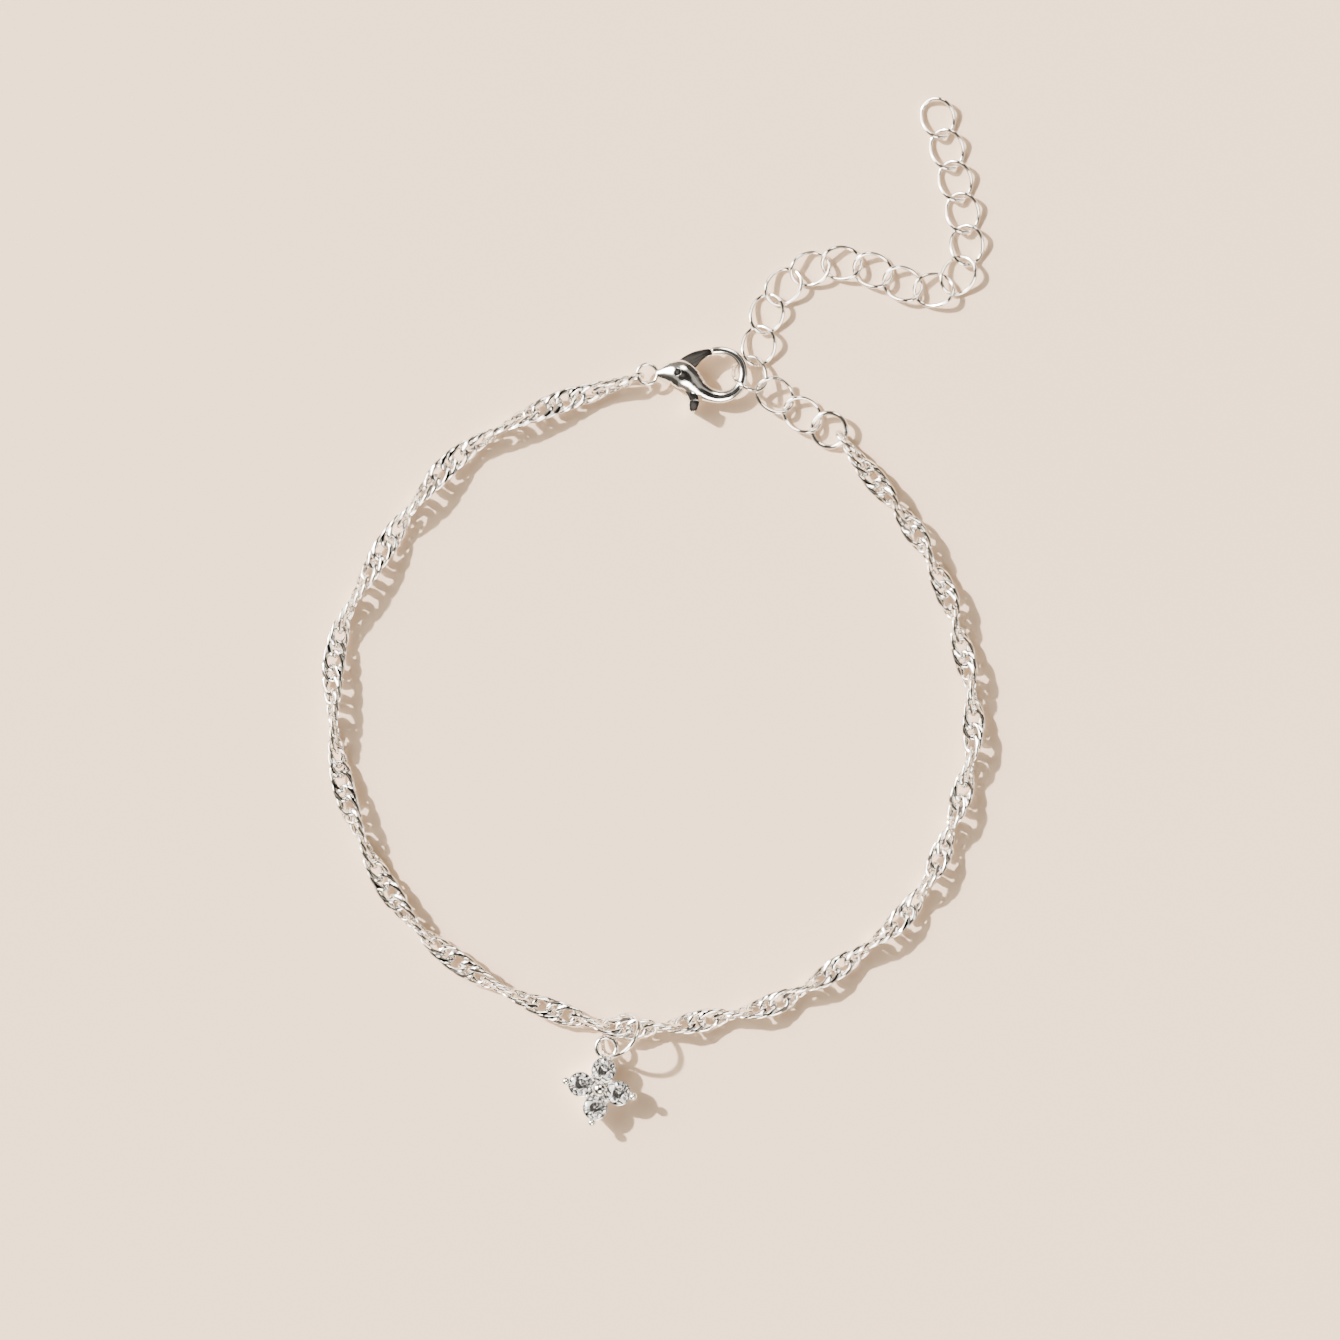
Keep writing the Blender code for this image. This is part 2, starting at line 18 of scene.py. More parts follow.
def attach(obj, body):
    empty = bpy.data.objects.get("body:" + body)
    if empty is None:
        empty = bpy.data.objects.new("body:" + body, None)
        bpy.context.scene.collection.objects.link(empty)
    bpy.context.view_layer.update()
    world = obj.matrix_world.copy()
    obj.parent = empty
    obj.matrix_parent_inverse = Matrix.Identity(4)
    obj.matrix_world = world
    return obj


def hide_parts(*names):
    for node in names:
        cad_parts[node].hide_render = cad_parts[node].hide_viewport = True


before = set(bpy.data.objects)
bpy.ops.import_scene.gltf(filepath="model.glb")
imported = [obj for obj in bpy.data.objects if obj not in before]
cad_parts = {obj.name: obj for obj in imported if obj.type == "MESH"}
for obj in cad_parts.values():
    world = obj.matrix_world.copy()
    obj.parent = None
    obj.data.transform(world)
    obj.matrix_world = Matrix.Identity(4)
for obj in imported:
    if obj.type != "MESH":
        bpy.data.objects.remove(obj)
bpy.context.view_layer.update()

logging.basicConfig(level=logging.INFO, format="%(message)s")
LOG = logging.getLogger("bracelet")

Colour = tuple[float, float, float]
Pair = tuple[float, float]
Outline = Sequence[Pair]
Inputs = dict[str | int, object]

MM = 0.001
WELD = 0.00001 * MM
PX = MM / 11.0
ORIGIN_PX = (653.3, 611.6)
PHOTO_PX = 1340.0

BRACELET = "bracelet"
LEVER = "lever"


class Slot(Enum):
    """The record's material slots."""

    SILVER = "silver_plate"
    CRYSTAL = "clear_crystal"


class RoutePoint(NamedTuple):
    """A place on the middle line of a chain, with its height where the chain is lifted."""

    x_px: float
    y_px: float
    height_mm: float = 1.08


class Turn(NamedTuple):
    """Where the ribbon has made so many half turns: flat at whole numbers, on edge at halves."""

    x_px: float
    y_px: float
    half_turns: float


class Placement(NamedTuple):
    """A ring or link set one by one: middle, heading in plan, rise of its leading end, and roll.
    """

    x_px: float
    y_px: float
    height_mm: float
    heading_deg: float
    rise_deg: float
    roll_deg: float


class Section(NamedTuple):
    """A round section of the clasp's casting on its middle line."""

    x_px: float
    y_px: float
    radius_mm: float


CHAIN_ROUTE = tuple(
    RoutePoint(*row)
    for row in (
        (645, 374.8, 1.22), (625, 382, 1.12), (600, 390.5), (560, 402.5),
        (510, 425), (470, 448.5), (443, 471), (415, 505), (386, 546),
        (360, 590), (343, 625), (334.5, 661), (333, 700), (337, 750),
        (346, 795), (362, 838), (386, 885), (417, 926), (457, 961),
        (505, 990), (560, 1012, 1.12), (605, 1025, 1.38), (650, 1027.5, 1.38),
        (700, 1020.5, 1.12), (775, 1003), (835, 969), (875, 940.5), (907, 911),
        (936, 864), (956, 810), (968, 768), (973, 725), (970.5, 690),
        (962, 650), (948, 600), (930, 560), (912, 529), (878, 485),
        (856, 458, 1.06), (836.5, 431, 1.00),
    )
)

CHAIN_TURNS = tuple(
    Turn(*row)
    for row in (
        (629, 380.5, -0.5), (560, 402.5, 0), (445, 469, 1), (385, 547, 2),
        (334.5, 661, 3), (345, 790, 4), (389, 890, 5), (455, 959, 6),
        (560, 1012, 7), (630, 1027, 8), (700, 1020.5, 9),
        (775, 1003, 10), (835, 969, 11), (905, 913, 12),
        (940, 855, 13), (960, 795, 14), (973, 725, 15), (963, 655, 16),
        (944, 590, 17), (912, 529, 18), (878, 485, 19), (846, 444.5, 19.5),
    )
)

EXTENDER_ROUTE = tuple(
    RoutePoint(*row)
    for row in (
        (761.5, 329.5), (764, 314), (780, 287.5), (808, 268), (841, 261.5),
        (872.5, 268.5), (902, 285.5), (933, 293.5), (960.5, 282.5), (968, 250),
        (963.5, 218), (956, 186), (948, 154), (938, 120), (932, 100),
    )
)

END_RING = Placement(829, 430.1, 0.69, 150, -5, -15)
FIRST_LINKS = (
    Placement(802.6, 415.1, 0.62, 147, 1, 1),
    Placement(775.2, 395.4, 1.01, 145, 13, 0),
    Placement(749.8, 374.9, 1.16, 108, -28, 11),
    Placement(758.5, 346, 0.56, 77, 1, -1),
)
CORNER_LINKS = {
    11: Placement(933.5, 290.2, 0.56, 3, 2, -1),
    12: Placement(958, 275.8, 0.55, 58, 1, -1),
    13: Placement(966.4, 245.6, 0.54, 92, 0, 0),
}
END_LINK_LEFT = Placement(629, 380.5, 1.12, -160, 0, 90)
END_LINK_RIGHT = Placement(846, 444.5, 1.05, 125, 0, 90)
CHARM_RING = Placement(620.8, 1033.6, 2, 232, 0, 55)

CLASP_SECTIONS = tuple(
    Section(*row)
    for row in (
        (656.8, 374.3, 0.38), (661, 374, 0.64), (667, 373.6, 1.00), (674, 373.8, 1.34),
        (681, 375.2, 1.49), (688, 379.4, 1.40), (694.5, 385.6, 1.13), (701, 391, 0.87),
        (710, 395.6, 0.68), (720.5, 397.5, 0.58), (731.5, 394.7, 0.52), (739.8, 386.7, 0.46),
        (743.2, 375.6, 0.42), (741.5, 363.8, 0.40), (734.5, 355.2, 0.38), (723.5, 350.9, 0.37),
        (713.5, 351.2, 0.35),
    )
)

LEVER_OUTLINE_PX = (
    (683, 358), (693, 352.8), (702, 350.5), (709.8, 349.7), (711.5, 352.5),
    (711.9, 355.6), (706.5, 357.9), (701.5, 361.6), (697.4, 366.6), (692.5, 372),
    (688.5, 378), (692, 386), (697, 394), (698.4, 402.5), (691, 403.5),
    (688, 397), (682, 388), (674.5, 381.5), (669.5, 376.5), (669.5, 370.5),
    (674, 365.5),
)

TAB_OUTLINE_PX = (
    (690, 401.4), (698.9, 401.4), (698.2, 407.5), (696, 411.4), (693.2, 412.6),
    (690, 411.4), (689, 406),
)

SLOT_OUTLINE_PX = (
    (715, 373), (700.5, 376), (694.5, 381.5), (696.8, 387.5), (701.5, 396),
    (702.5, 418), (666, 418), (666.5, 388), (671, 383.5), (667, 378),
    (667, 368.5), (674, 352),
)

BACK_PROFILE_MM = (
    (0.0, 2.3), (0.62, 2.3), (0.7, 0.7), (1.4, 0.52), (1.42, 0.48), (1.42, 0.04), (1.38, 0.0),
    (0.0, 0.0),
)

CUP_PROFILE_MM = (
    (0.0, 2.16), (1.06, 2.16), (1.09, 2.2), (1.125, 2.19), (1.14, 2.14), (1.13, 2.0),
    (1.06, 1.7), (0.95, 1.2), (0.83, 0.6), (0.77, 0.05), (0.74, 0.0), (0.0, 0.0),
)

PETALS = (
    ("top", 0.0, 1.0),
    ("left", -1.0, 0.0),
    ("right", 1.0, 0.0),
    ("bottom", 0.0, -1.0),
)

MOTTLE_SOCKETS = (
    ("Scale", "INPUT", "Float"), ("Detail", "INPUT", "Float"),
    ("First Tone", "INPUT", "Color"), ("Second Tone", "INPUT", "Color"),
    ("Low", "INPUT", "Float"), ("High", "INPUT", "Float"), ("Color", "OUTPUT", "Color"),
    ("Value", "OUTPUT", "Float"),
)


def plan(x_px: float, y_px: float, height: float = 0.0) -> Vector:
    """Turns a plan place into the frame.

    Args:
        x_px: Across the view, in pixels.
        y_px: Down the view, in pixels.
        height: Over the floor, in metres.

    Returns:
        The place in metres.
    """
    return Vector(((x_px - ORIGIN_PX[0]) * PX, (ORIGIN_PX[1] - y_px) * PX, height))


def frame_of(place: Placement) -> Matrix:
    """Builds the matrix of a piece set one by one.

    Args:
        place: Its row of the table.

    Returns:
        Roll about its length, then rise, then heading, then its place.
    """
    middle = plan(place.x_px, place.y_px, place.height_mm * MM)
    heading = Matrix.Rotation(radians(place.heading_deg), 4, "Z")
    rise = Matrix.Rotation(-radians(place.rise_deg), 4, "Y")
    roll = Matrix.Rotation(radians(place.roll_deg), 4, "X")
    return Matrix.Translation(middle) @ heading @ rise @ roll


def angles(count: int, shift: float = 0.0) -> list[float]:
    """Divides a full turn into equal steps, in radians."""
    return [2 * pi * (index + shift) / count for index in range(count)]


def catmull_rom(points: Sequence[np.ndarray], steps: int) -> np.ndarray:
    """Runs a smooth curve through points.

    Args:
        points: The points to pass.
        steps: How many steps lie between each two.

    Returns:
        The curve's points, one row each.
    """
    t = np.arange(steps)[:, None] / steps
    padded = [points[0], *points, points[-1]]
    spans = []
    for first, start, end, last in zip(padded, padded[1:], padded[2:], padded[3:]):
        square = (2 * first - 5 * start + 4 * end - last) * t**2
        cube = (3 * start - first - 3 * end + last) * t**3
        spans.append((2 * start + (end - first) * t + square + cube) / 2)
    return np.vstack([*spans, points[-1]])


@dataclass
class Route:
    """A smooth line measured by its length."""

    rows: Sequence[RoutePoint]
    steps: int = 8
    fine_steps: int = 4000
    points: np.ndarray = field(init=False)
    lengths: np.ndarray = field(init=False)
    fine: np.ndarray = field(init=False)

    def __post_init__(self) -> None:
        """Smooths the rows, measures the line and divides it finely."""
        places = [plan(row.x_px, row.y_px, row.height_mm * MM) for row in self.rows]
        self.points = catmull_rom(np.array(places), self.steps)
        gaps = np.linalg.norm(np.diff(self.points, axis=0), axis=1)
        self.lengths = np.concatenate([[0.0], np.cumsum(gaps)])
        self.fine = np.linspace(0.0, self.lengths[-1], self.fine_steps)

    def at(self, wanted: np.ndarray) -> np.ndarray:
        """Finds places along the line.

        Args:
            wanted: Lengths from the start, in metres.

        Returns:
            One row of x, y and z for each length.
        """
        columns = [np.interp(wanted, self.lengths, self.points[:, axis]) for axis in range(3)]
        return np.stack(columns, axis=-1)

    def length_near(self, row: Turn | Placement) -> float:
        """Finds how far along the line a row of a table lies, in metres."""
        away = self.at(self.fine)[:, :2] - plan(row.x_px, row.y_px)[:2]
        return float(self.fine[np.argmin(np.linalg.norm(away, axis=1))])

    def chord_walk(self, pitch: float) -> list[np.ndarray]:
        """Sets joints along the line.

        Args:
            pitch: The straight distance from one joint to the next.

        Returns:
            The joints' places.
        """
        places = self.at(self.fine)
        joints = [places[0]]
        for place in places:
            if np.linalg.norm(place - joints[-1]) >= pitch:
                joints.append(place)
        return joints


@dataclass
class Ribbon:
    """A route with a width direction that turns about it as a wrung chain does."""

    route: Route
    turns: Sequence[Turn]
    slope_step: float = 0.5 * MM
    smoothing: float = 1.2 * MM
    smoothing_steps: int = 5

    def angle(self, along: np.ndarray) -> np.ndarray:
        """Finds the ribbon's turn, smoothed over a link's length.

        Args:
            along: Lengths from the route's start, in metres.

        Returns:
            One angle in radians for each length.
        """
        lengths = [self.route.length_near(row) for row in self.turns]
        half_turns = [row.half_turns for row in self.turns]
        shifts = np.linspace(-1.0, 1.0, self.smoothing_steps) * self.smoothing
        values = [np.interp(along + shift, lengths, half_turns) for shift in shifts]
        return pi * np.mean(values, axis=0)

    def place(self, along: np.ndarray, across: np.ndarray, over: np.ndarray) -> np.ndarray:
        """Lays points on the wrung ribbon.

        Args:
            along: Lengths from the route's start, in metres.
            across: Distances from the middle line, over the width.
            over: Distances from the ribbon's middle layer, through its thickness.

        Returns:
            The places in the frame.
        """
        middle = self.route.at(along)
        tangent = self.route.at(along + self.slope_step) - self.route.at(along - self.slope_step)
        tangent /= np.linalg.norm(tangent, axis=-1, keepdims=True)
        side = np.cross(np.array([0.0, 0.0, 1.0]), tangent)
        side /= np.linalg.norm(side, axis=-1, keepdims=True)
        rise = np.cross(tangent, side)
        angle = self.angle(along)[..., None]
        width = side * np.cos(angle) + rise * np.sin(angle)
        normal = np.cross(tangent, width)
        return middle + width * across[..., None] + normal * over[..., None]


def placed(name: str, data: ID) -> Object:
    """Puts a new object with this data in the scene, at the origin."""
    piece = bpy.data.objects.new(name, data)
    bpy.context.scene.collection.objects.link(piece)
    return piece


def bake(piece: Object) -> Mesh:
    """Turns an object with its modifiers into a plain mesh, and removes the object.

    Args:
        piece: A curve or mesh object in the scene, at the origin.

    Returns:
        A mesh in the frame's own coordinates, welded and with its faces outwards.
    """
    bpy.context.view_layer.update()
    graph = bpy.context.evaluated_depsgraph_get()
    mesh = bpy.data.meshes.new_from_object(piece.evaluated_get(graph))
    bpy.data.objects.remove(piece)
    shape = bmesh.new()
    shape.from_mesh(mesh)
    bmesh.ops.remove_doubles(shape, verts=shape.verts, dist=WELD)
    bmesh.ops.recalc_face_normals(shape, faces=shape.faces)
    shape.to_mesh(mesh)
    shape.free()
    return mesh


def written(shape: BMesh) -> Mesh:
    """Writes a shape to a new mesh and frees it.

    Args:
        shape: The finished shape.

    Returns:
        The mesh.
    """
    mesh = bpy.data.meshes.new("shape")
    shape.to_mesh(mesh)
    shape.free()
    return mesh


def wire_mesh(
    points: Sequence[Sequence[float]],
    radii: Sequence[float],
    cyclic: bool = False,
    sides_resolution: int = 4,
    breadth: float = 1.0,
) -> Mesh:
    """Draws round or pressed wire along points.

    Args:
        points: The wire's middle line.
        radii: Its radius at each point.
        cyclic: Whether the wire closes on itself.
        sides_resolution: Two sides for each step over four.
        breadth: The wire's width over its thickness.

    Returns:
        A closed mesh with its caps welded on.
    """
    curve = bpy.data.curves.new("wire", "CURVE")
    curve.dimensions = "3D"
    curve.bevel_resolution = sides_resolution
    curve.bevel_depth = max(radii)
    curve.use_fill_caps = not cyclic
    spline = curve.splines.new("POLY")
    spline.points.add(len(points) - 1)
    spline.use_cyclic_u = cyclic
    for point, place, radius in zip(spline.points, points, radii):
        point.co = (*place, 1.0)
        point.radius = radius / max(radii)
    if breadth == 1.0:
        return bake(placed("wire", curve))
    section = pressed_section(max(radii), breadth)
    curve.twist_mode = "Z_UP"
    curve.bevel_mode = "OBJECT"
    curve.bevel_object = section
    mesh = bake(placed("wire", curve))
    bpy.data.objects.remove(section)
    return mesh


def pressed_section(radius: float, breadth: float, sides: int = 10) -> Object:
    """Draws the section of a wire that was pressed flatter.

    Args:
        radius: Half its thickness.
        breadth: Its width over its thickness.
        sides: How many sides it has.

    Returns:
        A closed flat curve.
    """
    curve = bpy.data.curves.new("section", "CURVE")
    curve.dimensions = "2D"
    spline = curve.splines.new("POLY")
    spline.points.add(sides - 1)
    spline.use_cyclic_u = True
    for point, angle in zip(spline.points, angles(sides, shift=0.5)):
        point.co = (radius * breadth * cos(angle), radius * sin(angle), 0.0, 1.0)
    return placed("section", curve)


@dataclass(frozen=True)
class LinkShape:
    """A twisted oval link of round wire, its sizes in metres."""

    length: float
    width: float
    wire: float
    rise: float
    around: int = 48
    breadth: float = 1.0

    def mesh(self) -> Mesh:
        """Makes the link at the origin, its length along X.

        Returns:
            A closed mesh.
        """
        points = []
        for angle in angles(self.around):
            x = (self.length - self.wire * self.breadth) / 2 * cos(angle)
            y = (self.width - self.wire * self.breadth) / 2 * sin(angle)
            points.append((x, y, -self.rise * sin(2 * angle)))
        return wire_mesh(points, [self.wire / 2] * len(points), cyclic=True, breadth=self.breadth)


def torus_mesh(diameter: float, wire: float, place: Matrix, around: int = 64) -> Mesh:
    """Makes a round ring of round wire.

    Args:
        diameter: Its outer diameter.
        wire: The wire's diameter.
        place: Where it lies.
        around: How many steps the ring has.

    Returns:
        A closed mesh.
    """
    radius = (diameter - wire) / 2
    points = [(radius * cos(turn), radius * sin(turn), 0.0) for turn in angles(around)]
    mesh = wire_mesh(points, [wire / 2] * around, cyclic=True, sides_resolution=5)
    mesh.transform(place)
    return mesh


def turned_mesh(profile_mm: Outline, foot: Vector, steps: int = 48) -> Mesh:
    """Turns a profile about the vertical.

    Args:
        profile_mm: Radius and height of each point, from the top axis point to the bottom one.
        foot: The place of the axis at height 0.
        steps: How many steps the turn has.

    Returns:
        A closed mesh.
    """
    shape = bmesh.new()
    verts = [shape.verts.new((radius * MM, 0.0, height * MM)) for radius, height in profile_mm]
    edges = [shape.edges.new(pair) for pair in zip(verts, verts[1:])]
    full = {"axis": (0.0, 0.0, 1.0), "angle": 2 * pi, "steps": steps, "use_merge": True}
    bmesh.ops.spin(shape, geom=verts + edges, **full)
    bmesh.ops.remove_doubles(shape, verts=shape.verts, dist=WELD)
    bmesh.ops.recalc_face_normals(shape, faces=shape.faces)
    bmesh.ops.translate(shape, verts=shape.verts, vec=foot)
    return written(shape)


def rod_mesh(radius: float, start: Vector, end: Vector, sides: int = 20) -> Mesh:
    """Makes a straight round rod between two places.

    Args:
        radius: The rod's radius.
        start: The middle of its first end.
        end: The middle of its other end.
        sides: How many sides it has.

    Returns:
        A closed mesh.
    """
    along = end - start
    shape = bmesh.new()
    bmesh.ops.create_cone(
        shape, cap_ends=True, segments=sides, radius1=radius, radius2=radius, depth=along.length
    )
    turn = along.to_track_quat("Z", "Y").to_matrix().to_4x4()
    middle = Matrix.Translation((start + end) / 2)
    bmesh.ops.transform(shape, matrix=middle @ turn, verts=shape.verts)
    return written(shape)


def ball_mesh(radius: float, place: Vector, flatten: float = 1.0) -> Mesh:
    """Makes a cast bead.

    Args:
        radius: Its radius.
        place: Its middle.
        flatten: Its height over its width.

    Returns:
        A closed mesh.
    """
    shape = bmesh.new()
    bmesh.ops.create_uvsphere(shape, u_segments=32, v_segments=20, radius=radius)
    bmesh.ops.scale(shape, vec=(1.0, 1.0, flatten), verts=shape.verts)
    bmesh.ops.translate(shape, verts=shape.verts, vec=place)
    return written(shape)


def plate_mesh(outline_px: Outline, thickness: float, height: float, rounding: int = 1) -> Mesh:
    """Makes a flat plate.

    Args:
        outline_px: Its corners in plan pixels.
        thickness: Its thickness in metres.
        height: Its middle height in metres.
        rounding: How many steps a smooth outline takes between corners, or 1 for straight sides.

    Returns:
        A closed mesh.
    """
    corners = [np.array(plan(x_px, y_px)[:2]) for x_px, y_px in outline_px]
    if rounding > 1:
        smooth = catmull_rom([corners[-1], *corners, corners[0], corners[1]], rounding)
        corners = smooth[rounding : rounding * (len(corners) + 1)]
    shape = bmesh.new()
    verts = [shape.verts.new((x, y, height - thickness / 2)) for x, y in corners]
    face = shape.faces.new(verts)
    upper = bmesh.ops.extrude_face_region(shape, geom=[face])
    moved = [item for item in upper["geom"] if isinstance(item, BMVert)]
    bmesh.ops.translate(shape, verts=moved, vec=(0.0, 0.0, thickness))
    bmesh.ops.recalc_face_normals(shape, faces=shape.faces)
    return written(shape)


@dataclass
class Casting:
    """A body made by adding and cutting shapes with exact Booleans."""

    mesh: Mesh

    def _apply(self, operation: str, tool: Mesh) -> None:
        """Runs one Boolean.

        Args:
            operation: What it does with the tool.
            tool: The shape that is joined on or taken away.
        """
        body = placed("casting", self.mesh)
        cutter = placed("tool", tool)
        step = body.modifiers.new("boolean", "BOOLEAN")
        step.operation = operation
        step.solver = "EXACT"
        step.object = cutter
        self.mesh = bake(body)
        bpy.data.objects.remove(cutter)

    def add(self, *tools: Mesh) -> None:
        """Joins shapes on."""
        for tool in tools:
            self._apply("UNION", tool)

    def cut(self, *tools: Mesh) -> None:
        """Takes shapes away."""
        for tool in tools:
            self._apply("DIFFERENCE", tool)

    def round_edges(self, width: float, segments: int, angle_deg: float) -> None:
        """Rounds the sharp edges.

        Args:
            width: How far the rounding reaches from an edge.
            segments: How many steps it has.
            angle_deg: The least angle between faces that counts as an edge.
        """
        body = placed("casting", self.mesh)
        step = body.modifiers.new("rounding", "BEVEL")
        step.width = width
        step.segments = segments
        step.limit_method = "ANGLE"
        step.angle_limit = radians(angle_deg)
        self.mesh = bake(body)


class Tree:
    """A node tree with short ways to add nodes."""

    def __init__(self, tree: NodeTree) -> None:
        """Takes the tree to add to."""
        self.tree = tree

    def feed(self, node: Node, inputs: Inputs) -> None:
        """Sets a node's inputs.

        Args:
            node: The node.
            inputs: By name or index, a value or the output that drives the input.
        """
        for key, given in inputs.items():
            if isinstance(given, NodeSocket):
                self.tree.links.new(given, node.inputs[key])
            else:
                node.inputs[key].default_value = given

    def node(self, kind: str, inputs: Inputs | None = None, **settings: object) -> Node:
        """Adds a node.

        Args:
            kind: Its type.
            inputs: What its inputs are given.
            settings: Its own settings by attribute name.

        Returns:
            The node.
        """
        added = self.tree.nodes.new(kind)
        for key, value in settings.items():
            setattr(added, key, value)
        self.feed(added, inputs or {})
        return added

    def mix(
        self, share: NodeSocket, first: object, second: object, blend: str = "MIX"
    ) -> NodeSocket:
        """Mixes two colours.

        Args:
            share: The output that says how much of the second one shows.
            first: The first colour, or the output that gives it.
            second: The second one in the same way.
            blend: How the second one is laid over the first.

        Returns:
            The output that gives the mixed colour.
        """
        inputs = {0: share, 6: first, 7: second}
        return self.node("ShaderNodeMix", inputs, data_type="RGBA", blend_type=blend).outputs[2]


class Graph(Tree):
    """A material's node tree and its Principled shader."""

    def __init__(self, name: str, mottle: NodeTree) -> None:
        """Starts a material that uses the shared mottle."""
        self.material = bpy.data.materials.new(name)
        self.material.use_nodes = True
        self.group = mottle
        super().__init__(self.material.node_tree)

    def mottle(
        self,
        scale: float,
        detail: float,
        tones: tuple[Colour, Colour] = ((0.0, 0.0, 0.0), (1.0, 1.0, 1.0)),
        limits: Pair = (0.0, 1.0),
    ) -> bpy.types.bpy_prop_collection:
        """Places the shared mottle with its own values.

        Args:
            scale: The scale of its clouds.
            detail: The detail of its clouds.
            tones: The two colours that it runs between.
            limits: The two values that it runs between.

        Returns:
            The group's outputs, Color and Value.
        """
        inputs = {
            "Scale": scale,
            "Detail": detail,
            "First Tone": (*tones[0], 1.0),
            "Second Tone": (*tones[1], 1.0),
            "Low": limits[0],
            "High": limits[1],
        }
        return self.node("ShaderNodeGroup", inputs, node_tree=self.group).outputs


def mottle_group() -> NodeTree:
    """Builds the clouded variation that every finish uses.

    Returns:
        A node group that gives a colour between two tones and a value between two limits.
    """
    group = bpy.data.node_groups.new("mottle", "ShaderNodeTree")
    for name, way, kind in MOTTLE_SOCKETS:
        group.interface.new_socket(name, in_out=way, socket_type=f"NodeSocket{kind}")
    tree = Tree(group)
    given = tree.node("NodeGroupInput").outputs
    place = tree.node("ShaderNodeTexCoord").outputs["Object"]
    clouds = tree.node(
        "ShaderNodeTexNoise", {"Vector": place, "Scale": given["Scale"], "Detail": given["Detail"]}
    )
    spread = {"Value": clouds.outputs["Fac"], "From Min": 0.3, "From Max": 0.7}
    share = tree.node("ShaderNodeMapRange", spread).outputs["Result"]
    colour = tree.mix(share, given["First Tone"], given["Second Tone"])
    limits = {"Value": share, "To Min": given["Low"], "To Max": given["High"]}
    value = tree.node("ShaderNodeMapRange", limits).outputs["Result"]
    tree.node("NodeGroupOutput", {"Color": colour, "Value": value})
    return group


@dataclass(frozen=True)
class Finish(ABC):
    """What the finishes share."""

    name: str

    @abstractmethod
    def look(self, graph: Graph) -> Inputs:
        """Lists the shader's inputs.

        Args:
            graph: The material's nodes, to which it adds the finish's own.

        Returns:
            What each input is given.
        """

    def build(self, mottle: NodeTree) -> Material:
        """Makes the material.

        Args:
            mottle: The shared mottle.

        Returns:
            The material.
        """
        graph = Graph(self.name, mottle)
        graph.feed(graph.tree.nodes["Principled BSDF"], self.look(graph))
        return graph.material


@dataclass(frozen=True)
class SilverFinish(Finish):
    """Bright plate over cast or drawn metal, with faint wear."""

    bright: Colour = (0.96, 0.95, 0.93)
    worn: Colour = (0.88, 0.86, 0.83)
    smooth: float = 0.03
    rough: float = 0.08
    wear_scale: float = 900.0
    rub_scale: float = 2300.0
    bump_scale: float = 2600.0
    bump_mm: float = 0.004
    bump_strength: float = 0.3

    def look(self, graph: Graph) -> Inputs:
        """Lists the shader's inputs."""
        grain = {
            "Height": graph.mottle(self.bump_scale, 2.0)["Value"],
            "Strength": self.bump_strength,
            "Distance": self.bump_mm * MM,
        }
        rubbed = graph.mottle(self.rub_scale, 5.0, limits=(self.smooth, self.rough))
        return {
            "Metallic": 1.0,
            "Base Color": graph.mottle(self.wear_scale, 4.0, (self.worn, self.bright))["Color"],
            "Roughness": rubbed["Value"],
            "Normal": graph.node("ShaderNodeBump", grain).outputs["Normal"],
        }


@dataclass(frozen=True)
class CrystalFinish(Finish):
    """A clear cut stone with a high index."""

    tint: Colour = (0.97, 0.98, 1.0)
    dimming: float = 0.96
    tint_scale: float = 1500.0
    index: float = 2.1
    rough: float = 0.015
    rub_scale: float = 4000.0

    def look(self, graph: Graph) -> Inputs:
        """Lists the shader's inputs."""
        dim = tuple(value * self.dimming for value in self.tint)
        return {
            "Transmission Weight": 1.0,
            "IOR": self.index,
            "Metallic": 0.0,
            "Base Color": graph.mottle(self.tint_scale, 2.0, (dim, self.tint))["Color"],
            "Roughness": graph.mottle(self.rub_scale, 2.0, limits=(0.0, self.rough))["Value"],
        }


@dataclass(frozen=True)
class FloorFinish(Finish):
    """A plain pale matt surface."""

    colour: Colour = (0.86, 0.66, 0.47)
    dimming: float = 0.975
    cloud_scale: float = 12.0
    rough: float = 0.75

    def look(self, graph: Graph) -> Inputs:
        """Lists the shader's inputs."""
        dim = tuple(value * self.dimming for value in self.colour)
        clouds = graph.mottle(self.cloud_scale, 4.0, (dim, self.colour))
        return {"Base Color": clouds["Color"], "Roughness": self.rough}


@dataclass
class Finishes:
    """The materials in use."""

    wire: Material
    cast: Material
    crystal: Material
    foil: Material
    floor: Material


def set_piece(
    node: str,
    mesh: Mesh,
    finish: Material,
    style: str = "fine",
    body: str = BRACELET,
    sharp_deg: float = 60.0,
) -> Object:
    """Sets a finished piece in the scene in place of its CAD node.

    Args:
        node: The CAD node that it stands for.
        mesh: Its mesh, in the frame's coordinates.
        finish: Its material.
        style: What its name adds to the node's.
        body: The body that it rides on.
        sharp_deg: The least angle between faces that stays sharp, or 0 for flat facets.

    Returns:
        The piece.
    """
    name = f"{node}_{style}"
    mesh.name = name
    piece = placed(name, mesh)
    mesh.materials.append(finish)
    if sharp_deg > 0.0:
        mesh.shade_smooth()
        mesh.set_sharp_from_angle(angle=radians(sharp_deg))
    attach(piece, body)
    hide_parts(node)
    LOG.info("%s: %d faces", name, len(mesh.polygons))
    return piece


